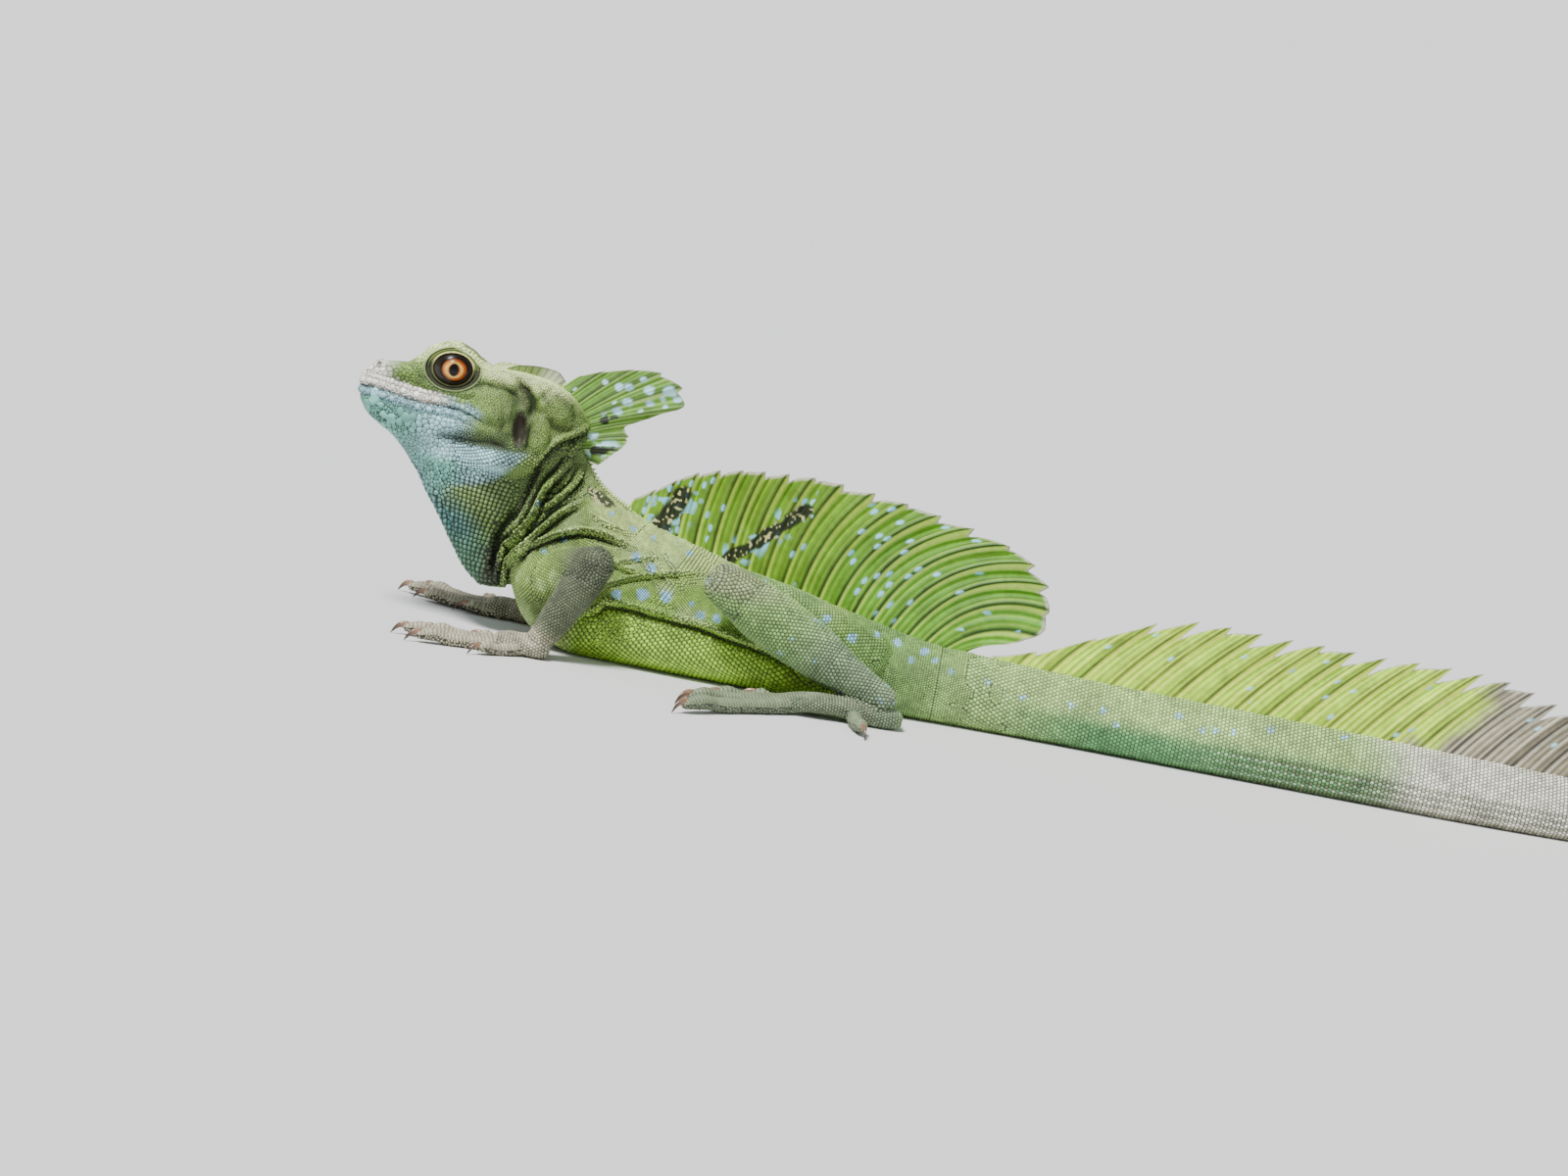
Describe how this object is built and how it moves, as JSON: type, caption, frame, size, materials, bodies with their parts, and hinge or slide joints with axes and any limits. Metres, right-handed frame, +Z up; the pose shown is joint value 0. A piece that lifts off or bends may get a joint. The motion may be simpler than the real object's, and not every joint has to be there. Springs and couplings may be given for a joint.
{
  "type": "green basilisk lizard, still museum model",
  "caption": "Life-size adult male green basilisk at rest: head raised, pouch, crested head, sail on the back, crested tail, four clawed legs.",
  "frame": {"origin": "middle of the model's box in plan, on the floor it rests on", "axes": "+X towards the tail along the body, +Y towards the animal's right side, +Z up"},
  "size_m": [0.6618, 0.1528, 0.0844],
  "materials": {
    "head_skin": "dry scaly skin",
    "throat_skin": "dry scaly skin",
    "neck_skin": "dry scaly skin",
    "body_skin": "dry scaly skin",
    "tail_skin": "dry scaly skin",
    "leg_skin": "dry scaly skin",
    "crest_skin": "dry scaly skin",
    "eye": "wet and glossy"
  },
  "bodies": {
    "root": {"back_crest": "crest_skin", "eye_left": "eye", "eye_right": "eye", "front_crest": "crest_skin", "head": "head_skin", "head_crest": "crest_skin", "left_foot": "leg_skin", "left_forearm": "leg_skin", "left_hand": "leg_skin", "left_shank": "leg_skin", "left_thigh": "leg_skin", "left_upper_arm": "leg_skin", "lower_jaw": "throat_skin", "neck": "neck_skin", "right_foot": "leg_skin", "right_forearm": "leg_skin", "right_hand": "leg_skin", "right_shank": "leg_skin", "right_thigh": "leg_skin", "right_upper_arm": "leg_skin", "tail_base": "tail_skin", "tail_crest": "crest_skin", "tail_middle": "tail_skin", "tail_rear": "tail_skin", "tail_tip": "tail_skin", "throat": "throat_skin", "torso": "body_skin"}
  },
  "joints": []
}
